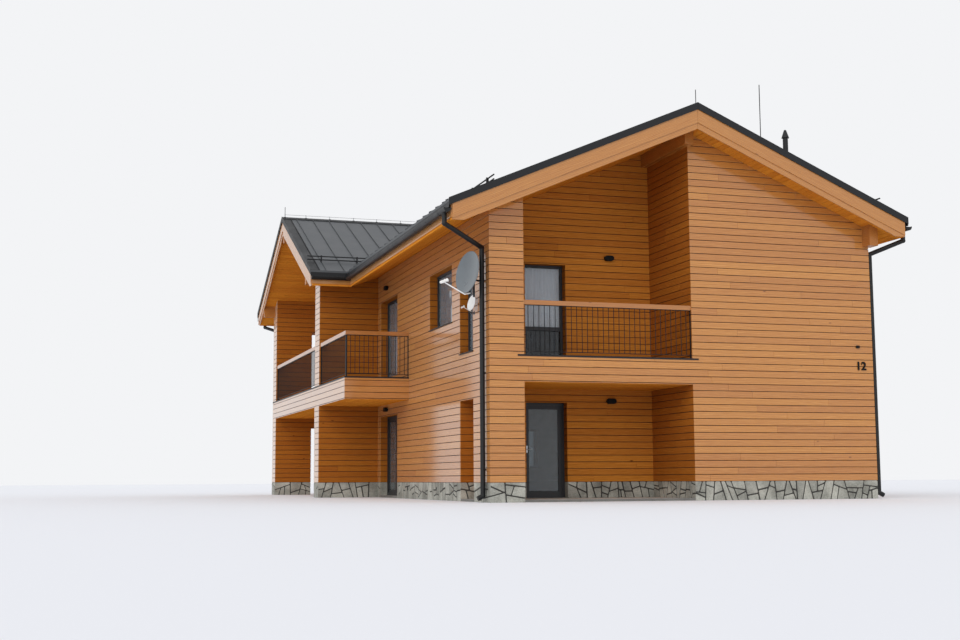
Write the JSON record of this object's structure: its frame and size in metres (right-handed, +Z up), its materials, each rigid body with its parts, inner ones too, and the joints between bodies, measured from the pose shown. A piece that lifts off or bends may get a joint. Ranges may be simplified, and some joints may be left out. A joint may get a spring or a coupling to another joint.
{
  "type": "alpine chalet",
  "caption": "Two-storey chalet with board-clad walls on a stone plinth, a front loggia on both storeys, a long side balcony under a cross gable, railings and opening glazed doors.",
  "frame": {"origin": "on the ground under the middle of the main block's plan", "axes": "+Z up, +Y from the front gable to the back, +X along the front to the right as seen from the front"},
  "size_m": [11.558, 19.213, 9.5298],
  "materials": {
    "larch_boards": "horizontal boards, oiled, dark joints",
    "trim_boards": "planed boards, oiled",
    "rail_timber": "planed and oiled",
    "floor_boards": "planed",
    "roof_sheet": "standing seam sheet, matt anthracite coating",
    "plinth_stone": "irregular natural stone with dark joints",
    "paving_slabs": "square slabs",
    "screed_floor": "smooth screed",
    "dark_metal": "folded sheet, dark coating",
    "frame_metal": "powder coat, anthracite",
    "black_steel": "powder coat, black",
    "handle_steel": "brushed",
    "grey_paint": "satin paint, light grey",
    "window_glass": "clear insulating glass",
    "curtain_cloth": "woven, pleated"
  },
  "bodies": {
    "house": {"ground_slab": "screed_floor", "loggia_paving": "paving_slabs", "thresholds": "paving_slabs", "plinths_across": "plinth_stone", "plinths_along": "plinth_stone", "front_wall": "larch_boards", "loggia_wall_lower": "larch_boards", "loggia_wall_upper": "larch_boards", "loggia_side_wall": "larch_boards", "left_wall_lower": "larch_boards", "left_wall_upper": "larch_boards", "left_wall_gable": "larch_boards", "right_wall": "larch_boards", "back_wall": "larch_boards", "fins": "larch_boards", "far_fin_lintels": "larch_boards", "upper_floor_main": "floor_boards", "upper_floor_front": "floor_boards", "loggia_slab": "larch_boards", "balcony_slab": "larch_boards", "slab_flashings": "dark_metal", "roof_deck_left": "larch_boards", "roof_deck_left_back": "larch_boards", "roof_deck_right": "larch_boards", "cross_deck_near": "larch_boards", "cross_deck_far": "larch_boards", "roof_cover_left": "roof_sheet", "roof_cover_left_back": "roof_sheet", "roof_cover_right": "roof_sheet", "cross_cover_near": "roof_sheet", "cross_cover_far": "roof_sheet", "ridge_caps": "dark_metal", "bargeboards": "trim_boards", "eaves_boards": "trim_boards", "verge_flashings": "dark_metal", "purlins": "trim_boards", "gutters": "dark_metal", "downpipes": "dark_metal", "railings": "black_steel", "handrails": "rail_timber", "window_frames": "frame_metal", "window_panes": "window_glass", "window_sills": "dark_metal", "door_frames": "frame_metal", "entry_door": "larch_boards", "wall_lamps": "black_steel", "dish_antennas": "grey_paint", "roof_fittings": "dark_metal", "curtains": "curtain_cloth"},
    "loggia_door": {"loggia_door_leaf": "frame_metal", "loggia_door_pane": "window_glass", "loggia_door_handle": "handle_steel"},
    "side_door_near": {"side_door_leaf_near": "frame_metal", "side_door_pane_near": "window_glass", "side_door_handle": "handle_steel"},
    "side_door_far": {"side_door_leaf_far": "frame_metal", "side_door_pane_far": "window_glass"}
  },
  "joints": [
    {"name": "loggia_door_swing", "type": "hinge", "parent": "house", "child": "loggia_door", "pos_m": [-2.02, -6.487, 1], "axis": [0, 0, -1], "range_deg": [0, 90]},
    {"name": "side_door_near_swing", "type": "hinge", "parent": "house", "child": "side_door_near", "pos_m": [-4.132, -1.2, 1], "axis": [0, 0, -1], "range_deg": [0, 90]},
    {"name": "side_door_far_swing", "type": "hinge", "parent": "house", "child": "side_door_far", "pos_m": [-4.132, 0.55, 1], "axis": [0, 0, 1], "range_deg": [0, 90]}
  ]
}
